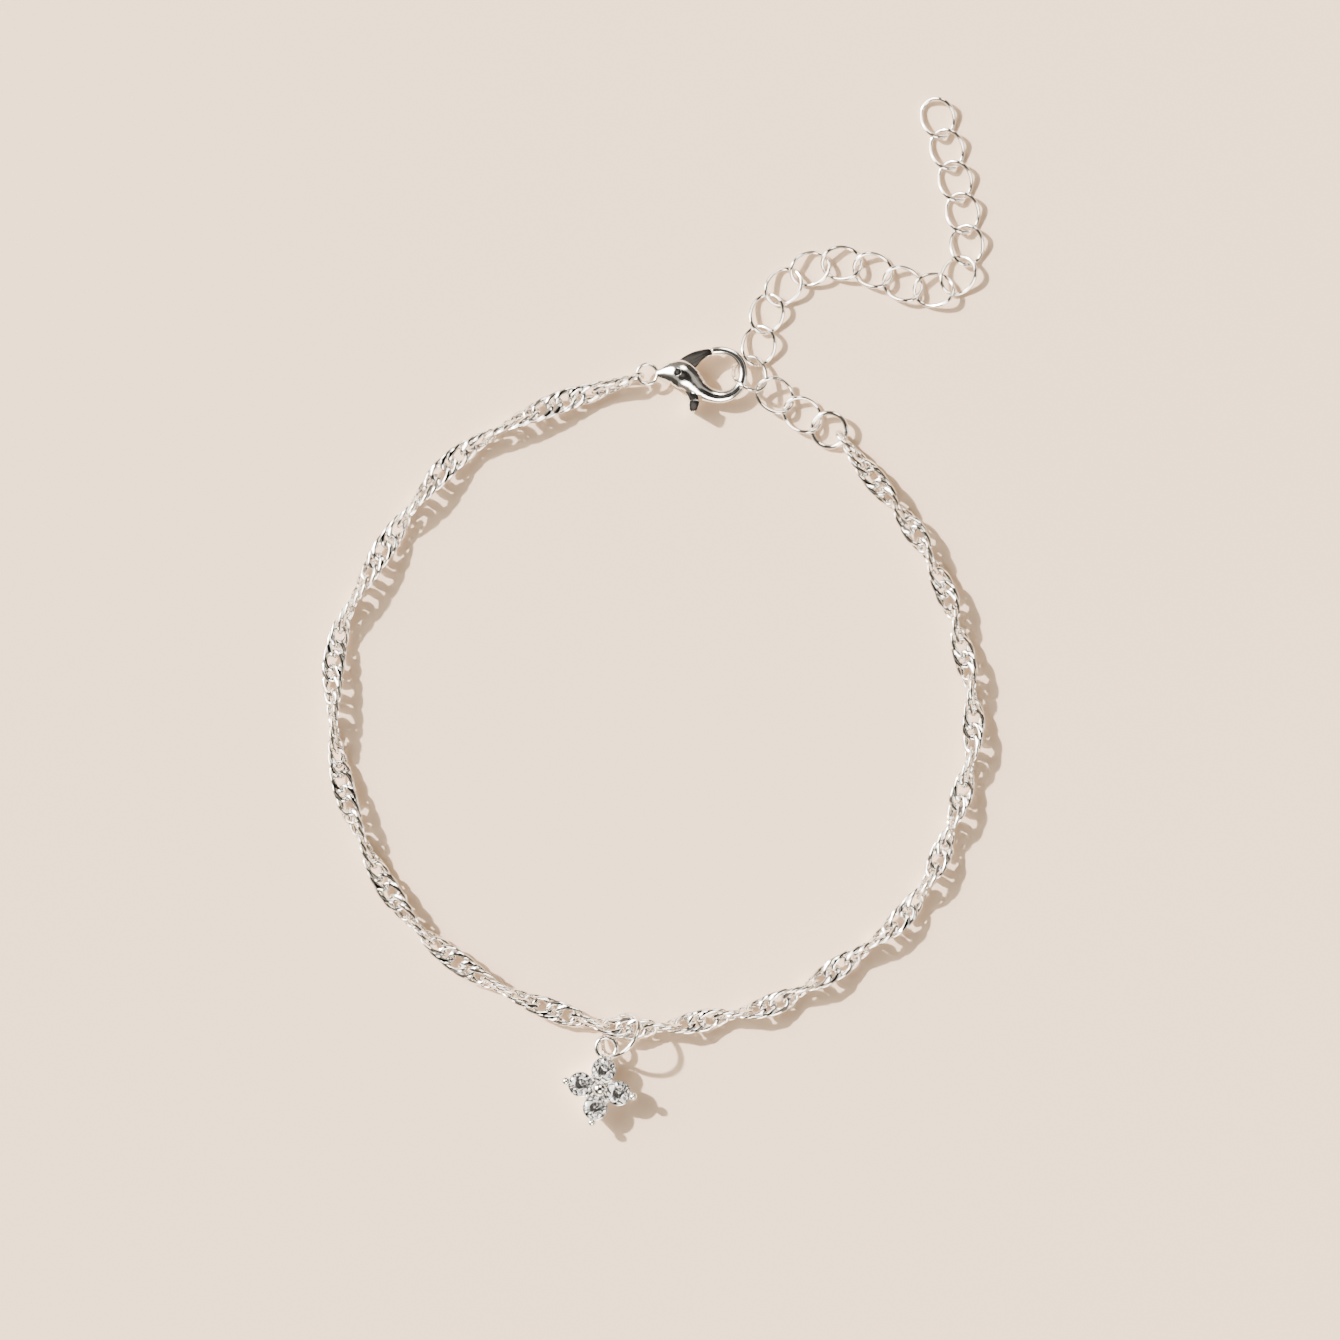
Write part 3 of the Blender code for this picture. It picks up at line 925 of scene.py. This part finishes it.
@dataclass
class MainChain:
    """The wrung two-in-two chain, each link through the next two, and the links at its ends."""

    finishes: Finishes
    pitch: float = 1.1 * MM
    bunching: float = 0.1 * MM
    shape: LinkShape = LinkShape(
        length=3.05 * MM, width=2.12 * MM, wire=0.34 * MM, rise=0.32 * MM, around=28, breadth=1.28
    )
    end_shape: LinkShape = LinkShape(
        length=3.0 * MM, width=1.9 * MM, wire=0.36 * MM, rise=0.22 * MM
    )
    facet_ridge: float = 0.54 * MM
    facet_slope: float = 0.25
    split: float = 0.505

    def build(self) -> None:
        """Lays the links along the ribbon and sets the two end links."""
        ribbon = Ribbon(Route(CHAIN_ROUTE), CHAIN_TURNS)
        first = ribbon.route.length_near(END_LINK_LEFT)
        last = ribbon.route.length_near(END_LINK_RIGHT)
        count = round((last - first) / self.pitch)
        places = np.linspace(first, last, count + 1)[1:-1]
        places += self.bunching * (-1.0) ** np.arange(len(places))
        left = places < ribbon.route.lengths[-1] * self.split
        link = self.shape.mesh()
        for node, chosen in (("main_chain_left", left), ("main_chain_right", ~left)):
            mesh = self._lay(ribbon, link, places[chosen])
            set_piece(node, mesh, self.finishes.wire, "links", sharp_deg=62.0)
        for side, place in (("left", END_LINK_LEFT), ("right", END_LINK_RIGHT)):
            mesh = self.end_shape.mesh()
            mesh.transform(frame_of(place))
            set_piece(f"chain_end_link_{side}", mesh, self.finishes.wire)

    def _lay(self, ribbon: Ribbon, link: Mesh, places: np.ndarray) -> Mesh:
        """Copies the link to each place, presses facets on it and bends it to the ribbon.

        Args:
            ribbon: The wrung ribbon.
            link: The straight link at the origin.
            places: The links' middles along the route.

        Returns:
            One mesh of all the links.
        """
        local = np.empty(len(link.vertices) * 3)
        link.vertices.foreach_get("co", local)
        x, y, z = local.reshape(-1, 3).T
        shape = bmesh.new()
        for _ in places:
            shape.from_mesh(link)
        mesh = written(shape)
        roof = self.facet_ridge - self.facet_slope * np.abs(y)
        along = (places[:, None] + x).ravel()
        across = np.tile(y, len(places))
        over = np.tile(np.clip(z, -roof, roof), len(places))
        mesh.vertices.foreach_set("co", ribbon.place(along, across, over).ravel())
        mesh.update()
        return mesh


@dataclass
class Extender:
    """The end ring and the twisted oval links that lie beyond the clasp."""

    finishes: Finishes
    shape: LinkShape = LinkShape(
        length=3.93 * MM, width=3.28 * MM, wire=0.36 * MM, rise=0.345 * MM
    )
    pitch: float = 2.97 * MM
    ring_diameter: float = 3.6 * MM
    ring_wire: float = 0.45 * MM

    def build(self) -> None:
        """Sets the ring and each link through the next."""
        ring = torus_mesh(self.ring_diameter, self.ring_wire, frame_of(END_RING))
        set_piece("end_ring", ring, self.finishes.wire)
        frames = [frame_of(place) for place in FIRST_LINKS]
        joints = Route(EXTENDER_ROUTE).chord_walk(self.pitch)
        for start, end in zip(joints, joints[1:]):
            middle = Vector((start + end) / 2)
            middle.z = self.shape.rise + self.shape.wire / 2
            heading = atan2(end[1] - start[1], end[0] - start[0])
            frames.append(Matrix.Translation(middle) @ Matrix.Rotation(heading, 4, "Z"))
        for number, place in CORNER_LINKS.items():
            frames[number - 1] = frame_of(place)
        for number, place in enumerate(frames, start=1):
            mesh = self.shape.mesh()
            mesh.transform(place)
            set_piece(f"extender_link_{number:02d}", mesh, self.finishes.wire)


@dataclass
class Clasp:
    """The lobster clasp: casting with eye and cheeks, sprung lever, and pin."""

    finishes: Finishes
    height: float = 1.22 * MM
    flatten: float = 0.80
    eye_px: Pair = (647.3, 374.6)
    eye_diameter: float = 2.15 * MM
    eye_wire: float = 0.34 * MM
    tip_share: float = 0.98
    pivot_px: Pair = (677.3, 373.1)
    pin_radius: float = 0.36 * MM
    pin_length: float = 2.3 * MM
    pin_rounding: float = 0.04 * MM
    hole_radius: float = 0.38 * MM
    bore_length: float = 6.0 * MM
    lever_thickness: float = 1.0 * MM
    lever_rounding: float = 0.16 * MM
    tab_thickness: float = 1.9 * MM
    slot_thickness: float = 1.16 * MM
    gate_reach_px: float = 41.4
    gate_arc_deg: Pair = (-50.0, -6.0)
    gate_arc_steps: int = 16

    def build(self) -> None:
        """Makes the three pieces."""
        self._body()
        self._lever()
        self._pin()

    def _axle(self, radius: float, length: float) -> Mesh:
        """Makes an upright rod through the pivot, half above it and half below."""
        pivot = plan(*self.pivot_px, self.height)
        half = Vector((0.0, 0.0, length / 2))
        return rod_mesh(radius, pivot - half, pivot + half, sides=32)

    def _body(self) -> None:
        """Lofts the casting, adds the eye and cuts the slot and the hole."""
        rows = [(*plan(row.x_px, row.y_px)[:2], row.radius_mm * MM) for row in CLASP_SECTIONS]
        line = catmull_rom(np.array(rows), steps=7)
        points = [(x, y, 0.0) for x, y in line[:, :2]]
        mesh = wire_mesh(points, line[:, 2].tolist(), sides_resolution=12)
        squashed = Matrix.Diagonal((1.0, 1.0, self.flatten, 1.0))
        mesh.transform(Matrix.Translation((0.0, 0.0, self.height)) @ squashed)
        casting = Casting(mesh)
        hook = CLASP_SECTIONS[-1]
        tip = plan(hook.x_px, hook.y_px, self.height)
        casting.add(ball_mesh(hook.radius_mm * MM * self.tip_share, tip, self.flatten))
        eye = Matrix.Translation(plan(*self.eye_px, self.height))
        casting.add(torus_mesh(self.eye_diameter, self.eye_wire, eye))
        slot = (*self._gate_arc(), *SLOT_OUTLINE_PX)
        casting.cut(plate_mesh(slot, self.slot_thickness, self.height))
        casting.cut(self._axle(self.hole_radius, self.bore_length))
        set_piece("clasp_body", casting.mesh, self.finishes.cast, sharp_deg=35.0)

    def _gate_arc(self) -> list[Pair]:
        """Draws the end of the slot, along the arc on which the gate's end swings.

        Returns:
            Places in plan pixels.
        """
        start, end = self.gate_arc_deg
        arc = []
        for step in range(self.gate_arc_steps + 1):
            angle = radians(start + (end - start) * step / self.gate_arc_steps)
            x_px = self.pivot_px[0] + self.gate_reach_px * cos(angle)
            arc.append((x_px, self.pivot_px[1] + self.gate_reach_px * sin(angle)))
        return arc

    def _lever(self) -> None:
        """Cuts the lever's plate, adds the thumb tab and rounds its edges."""
        plate = plate_mesh(LEVER_OUTLINE_PX, self.lever_thickness, self.height, rounding=4)
        casting = Casting(plate)
        casting.add(plate_mesh(TAB_OUTLINE_PX, self.tab_thickness, self.height, rounding=4))
        casting.cut(self._axle(self.hole_radius, self.bore_length))
        casting.round_edges(self.lever_rounding, segments=3, angle_deg=45.0)
        set_piece("clasp_lever", casting.mesh, self.finishes.cast, body=LEVER, sharp_deg=40.0)

    def _pin(self) -> None:
        """Makes the pin with rounded ends."""
        casting = Casting(self._axle(self.pin_radius, self.pin_length))
        casting.round_edges(self.pin_rounding, segments=2, angle_deg=50.0)
        set_piece("clasp_pin", casting.mesh, self.finishes.cast, sharp_deg=40.0)


@dataclass(frozen=True)
class BrilliantCut:
    """A round brilliant: table, stars, bezels, upper and lower girdle facets, pavilion mains."""

    radius: float = 1.0 * MM
    girdle: float = 0.05 * MM
    table: float = 0.57
    crown_deg: float = 34.0
    star_deg: float = 21.0
    upper_deg: float = 39.5
    pavilion_deg: float = 39.0
    lower_deg: float = 40.6
    unevenness_deg: float = 2.2
    main_wave: float = 2.4
    lower_wave: float = 1.7
    foil_below: float = -0.2

    def mesh(self, place: Matrix) -> Mesh:
        """Cuts the stone.

        Args:
            place: Where it sits: the girdle's lower edge is at height 0, the table faces up.

        Returns:
            A closed mesh with flat facets, those of the pavilion in the second material.
        """
        radius = self.radius
        shape = bmesh.new()
        bmesh.ops.create_cone(
            shape, cap_ends=True, segments=64, radius1=radius, radius2=radius, depth=radius * 4
        )
        top = self.girdle + radius * (1.0 - self.table) * tan(radians(self.crown_deg))
        self._grind(shape, 0.0, 0.0, top, 0.0)
        for index in range(8):
            uneven = self.unevenness_deg * sin(self.main_wave * index)
            self._grind(shape, 45.0 * index, self.crown_deg, self.girdle, radius)
            self._grind(shape, 45.0 * index, 180.0 - (self.pavilion_deg + uneven), 0.0, radius)
        star_radius = radius * self.table * cos(radians(22.5))
        for index in range(8):
            self._grind(shape, 45.0 * index + 22.5, self.star_deg, top, star_radius)
        for index in range(16):
            turn = 22.5 * index + 11.25
            uneven = self.unevenness_deg * sin(self.lower_wave * index)
            self._grind(shape, turn, self.upper_deg, self.girdle, radius)
            self._grind(shape, turn, 180.0 - (self.lower_deg + uneven), 0.0, radius)
        bmesh.ops.recalc_face_normals(shape, faces=shape.faces)
        for face in shape.faces:
            face.normal_update()
            face.material_index = int(face.normal.z < self.foil_below)
        bmesh.ops.transform(shape, matrix=place, verts=shape.verts)
        return written(shape)

    @staticmethod
    def _grind(shape: BMesh, turn: float, slope: float, height: float, radius: float) -> None:
        """Takes off what is outside a plane and closes the cut.

        Args:
            shape: The stone.
            turn: The plane's direction in degrees.
            slope: Its slope in degrees, over 90 where it faces down.
            height: The height at which it is at this distance from the axis.
            radius: That distance.
        """
        east = cos(radians(turn))
        north = sin(radians(turn))
        lean = sin(radians(slope))
        cut = bmesh.ops.bisect_plane(
            shape,
            geom=shape.verts[:] + shape.edges[:] + shape.faces[:],
            plane_co=(east * radius, north * radius, height),
            plane_no=(east * lean, north * lean, cos(radians(slope))),
            dist=1e-9,
            clear_outer=True,
        )
        edges = [item for item in cut["geom_cut"] if isinstance(item, BMEdge)]
        open_edges = [edge for edge in edges if edge.is_boundary]
        if open_edges:
            bmesh.ops.edgeloop_fill(shape, edges=open_edges)


class Prong(NamedTuple):
    """A post with a bead on its end, in millimetres: how far out and how high its ends are."""

    radius: float
    foot_out: float
    foot_height: float
    tip_out: float
    tip_height: float
    bead_radius: float
    sides: int


@dataclass
class Charm:
    """The flower: one casting with a loop, four cut stones, and the jump ring."""

    finishes: Finishes
    centre_px: Pair = (599.7, 1087.3)
    turn_deg: float = -13.0
    petal_mm: float = 1.76
    stone_height_mm: float = 2.13
    spin_across_deg: float = 19.36
    spin_along_deg: float = 12.32
    cut: BrilliantCut = BrilliantCut()
    seat_gap: float = 0.03 * MM
    seat_slope_deg: float = 41.6
    bead_radius: float = 0.68 * MM
    bead_height_mm: float = 2.15
    outer_prong: Prong = Prong(0.21, 2.35, 0.5, 3.12, 2.35, 0.38, 20)
    inner_prong: Prong = Prong(0.17, 1.3, 0.4, 1.3, 2.34, 0.19, 16)
    neck_radius: float = 0.22 * MM
    neck_mm: Outline = ((-0.05, 2.3), (-0.18, 2.94))
    loop_mm: Pair = (-0.22, 3.76)
    loop_height_mm: float = 1.46
    loop_diameter: float = 2.28 * MM
    loop_wire: float = 0.44 * MM
    ring_diameter: float = 4.76 * MM
    ring_wire: float = 0.42 * MM

    def place(self, x: float, y: float, height: float) -> Vector:
        """Finds a place in the charm.

        Args:
            x: Across, in millimetres from its centre.
            y: Towards the loop, in millimetres.
            height: Over the floor, in millimetres.

        Returns:
            The place in metres.
        """
        turned = Matrix.Rotation(radians(self.turn_deg), 3, "Z") @ Vector((x, y, 0.0))
        return plan(*self.centre_px, height * MM) + turned * MM

    def build(self) -> None:
        """Makes the casting, the stones and the ring."""
        self._setting()
        finish = self.finishes.crystal
        turn = Matrix.Rotation(radians(self.turn_deg), 4, "Z")
        for name, east, north in PETALS:
            middle = Matrix.Translation(self._on_petal(east, north, self.stone_height_mm))
            spin_deg = self.spin_across_deg * east + self.spin_along_deg * north
            spin = Matrix.Rotation(radians(spin_deg), 4, "Z")
            mesh = self.cut.mesh(middle @ turn @ spin)
            node = f"stone_{name}"
            stone = set_piece(node, mesh, finish, "cut", sharp_deg=0.0)
            stone.data.materials.append(self.finishes.foil)
        ring = torus_mesh(self.ring_diameter, self.ring_wire, frame_of(CHARM_RING), around=96)
        set_piece("charm_ring", ring, self.finishes.wire)

    def _on_petal(self, east: float, north: float, height: float) -> Vector:
        """Finds a place on a petal's axis, at a height in millimetres."""
        return self.place(east * self.petal_mm, north * self.petal_mm, height)

    def _prong(self, casting: Casting, prong: Prong, east: float, north: float) -> None:
        """Adds a prong to the setting.

        Args:
            casting: The setting.
            prong: The prong's sizes.
            east: How much of its way out is across the charm.
            north: How much of it is towards the loop.
        """
        foot = self.place(prong.foot_out * east, prong.foot_out * north, prong.foot_height)
        tip = self.place(prong.tip_out * east, prong.tip_out * north, prong.tip_height)
        casting.add(rod_mesh(prong.radius * MM, foot, tip, prong.sides))
        casting.add(ball_mesh(prong.bead_radius * MM, tip))

    def _setting(self) -> None:
        """Joins back, cups, bead, prongs and loop, and cuts the seats."""
        casting = Casting(turned_mesh(BACK_PROFILE_MM, self.place(0.0, 0.0, 0.0)))
        for _, east, north in PETALS:
            casting.add(turned_mesh(CUP_PROFILE_MM, self._on_petal(east, north, 0.0)))
        casting.add(ball_mesh(self.bead_radius, self.place(0.0, 0.0, self.bead_height_mm)))
        for _, east, north in PETALS[1:]:
            self._prong(casting, self.outer_prong, east, north)
        for angle in angles(4, shift=0.5):
            self._prong(casting, self.inner_prong, cos(angle), sin(angle))
        start, end = [self.place(*row, self.loop_height_mm) for row in self.neck_mm]
        casting.add(rod_mesh(self.neck_radius, start, end))
        loop = Matrix.Translation(self.place(*self.loop_mm, self.loop_height_mm))
        casting.add(torus_mesh(self.loop_diameter, self.loop_wire, loop))
        radius = (self.cut.radius + self.seat_gap) / MM
        depth = radius * tan(radians(self.seat_slope_deg))
        seat = ((0.0, 1.0), (radius, 1.0), (radius, 0.0), (0.0, -depth))
        for _, east, north in PETALS:
            casting.cut(turned_mesh(seat, self._on_petal(east, north, self.stone_height_mm)))
        set_piece("charm_setting", casting.mesh, self.finishes.cast, sharp_deg=38.0)


class Card(NamedTuple):
    """A soft round patch of the surround, bright or dark."""

    azimuth_deg: float
    elevation_deg: float
    half_angle_deg: float
    soft_deg: float
    radiance: float


class SoftBox(NamedTuple):
    """A square soft light that faces the bracelet."""

    name: str
    place: tuple[float, float, float]
    size: float
    power: float


@dataclass
class Studio:
    """The floor, the lights and the camera over the bracelet."""

    finishes: Finishes
    floor_half: float = 0.9
    floor_gap: float = 0.02 * MM
    camera_height: float = 0.62
    sensor_mm: float = 36.0
    sun_power: float = 12.4
    sun_width_deg: float = 2.2
    sun_colour: Colour = (1.0, 0.94, 0.88)
    sun_elevation_deg: float = 38.0
    sun_towards: Pair = (0.865, -0.5)
    soft_boxes: tuple[SoftBox, ...] = (
        SoftBox("soft_left", (-0.55, 0.32, 0.50), size=0.30, power=1.4),
        SoftBox("soft_right", (0.60, -0.10, 0.42), size=0.20, power=0.5),
    )
    ambient: Colour = (0.22, 0.19, 0.16)
    sparkle: Colour = (9.5, 9.8, 10.4)
    wall: Colour = (0.28, 0.24, 0.20)
    card_tint: Colour = (1.0, 0.92, 0.82)
    cards: tuple[Card, ...] = (
        Card(40, 20, 22, 8, 0.06),
        Card(225, 18, 20, 8, 0.08),
        Card(0, 90, 43, 8, 0.55),
        Card(158, 38, 17, 6, 22),
        Card(-78, 42, 12, 6, 18),
        Card(75, 46, 9, 5, 14),
        Card(0, 90, 31, 2, 0.012),
        Card(0, 90, 5, 9, 0.13),
    )

    def build(self) -> None:
        """Sets the stage."""
        self._floor()
        self._lights()
        self._surround()
        self._camera()

    def _floor(self) -> None:
        """Lays a plain pale floor just under the lowest pieces."""
        shape = bmesh.new()
        bmesh.ops.create_grid(shape, x_segments=1, y_segments=1, size=self.floor_half)
        bmesh.ops.translate(shape, verts=shape.verts, vec=(0.0, 0.0, -self.floor_gap))
        mesh = written(shape)
        mesh.materials.append(self.finishes.floor)
        floor = placed("floor", mesh)

    @staticmethod
    def _hang(light: Light, aim: Vector) -> Object:
        """Puts a light in the scene, turned to shine in a direction."""
        lamp = placed(light.name, light)
        lamp.rotation_euler = aim.to_track_quat("-Z", "Y").to_euler()
        return lamp

    def _lights(self) -> None:
        """Hangs the key light and the soft boxes."""
        key = bpy.data.lights.new("key", "SUN")
        key.energy = self.sun_power
        key.angle = radians(self.sun_width_deg)
        key.color = self.sun_colour
        elevation = radians(self.sun_elevation_deg)
        east, north = (share * cos(elevation) for share in self.sun_towards)
        self._hang(key, Vector((east, north, -sin(elevation))))
        for box in self.soft_boxes:
            light = bpy.data.lights.new(box.name, "AREA")
            light.size = box.size
            light.energy = box.power
            self._hang(light, -Vector(box.place)).location = box.place

    @staticmethod
    def _cover(tree: Tree, card: Card) -> NodeSocket:
        """Finds where a card covers the surround.

        Args:
            tree: The world's nodes.
            card: The card.

        Returns:
            An output that is 1 inside the card and fades to 0 at its edge.
        """
        bearing = radians(card.azimuth_deg)
        elevation = radians(card.elevation_deg)
        level = cos(elevation)
        middle = (level * cos(bearing), level * sin(bearing), sin(elevation))
        direction = tree.node("ShaderNodeTexCoord").outputs["Generated"]
        inputs = {0: direction, 1: middle}
        toward = tree.node("ShaderNodeVectorMath", inputs, operation="DOT_PRODUCT")
        limits = {
            "Value": toward.outputs["Value"],
            "From Min": cos(radians(card.half_angle_deg + card.soft_deg)),
            "From Max": cos(radians(card.half_angle_deg)),
        }
        fade = tree.node("ShaderNodeMapRange", limits, interpolation_type="SMOOTHSTEP")
        return fade.outputs["Result"]

    def _surround(self) -> None:
        """Paints the room: walls with cards on them, dim for matt faces, bright inside stones."""
        world = bpy.data.worlds.new("room")
        world.use_nodes = True
        tree = Tree(world.node_tree)
        room = (*self.wall, 1.0)
        for card in self.cards:
            tone = [card.radiance * share for share in self.card_tint]
            room = tree.mix(self._cover(tree, card), room, (*tone, 1.0))
        rays = tree.node("ShaderNodeLightPath").outputs
        inside = tree.mix(rays["Is Transmission Ray"], room, (*self.sparkle, 1.0), "MULTIPLY")
        seen = tree.mix(rays["Is Diffuse Ray"], inside, (*self.ambient, 1.0))
        tree.feed(world.node_tree.nodes["Background"], {"Color": seen})
        bpy.context.scene.world = world

    def _camera(self) -> None:
        """Looks straight down over the whole square."""
        lens = bpy.data.cameras.new("camera")
        lens.sensor_width = self.sensor_mm
        lens.lens = self.sensor_mm * self.camera_height / (PHOTO_PX * PX)
        lens.clip_start = 0.01
        camera = placed("camera", lens)
        camera.location = plan(PHOTO_PX / 2, PHOTO_PX / 2, self.camera_height)
        bpy.context.scene.camera = camera


def main() -> None:
    """Dresses the bracelet and sets the studio."""
    mottle = mottle_group()
    finishes = Finishes(
        wire=SilverFinish("silver_wire", worn=(0.76, 0.73, 0.68)).build(mottle),
        cast=SilverFinish("silver_casting", smooth=0.09, rough=0.17, bump_mm=0.006).build(mottle),
        crystal=CrystalFinish("cut_crystal").build(mottle),
        foil=SilverFinish("stone_foil", smooth=0.01, rough=0.03, bump_mm=0.0005).build(mottle),
        floor=FloorFinish("pale_floor").build(mottle),
    )
    for kind in (MainChain, Extender, Clasp, Charm, Studio):
        assembly = kind(finishes)
        LOG.info("building %s", type(assembly).__name__)
        assembly.build()


if __name__ == "__main__":
    main()
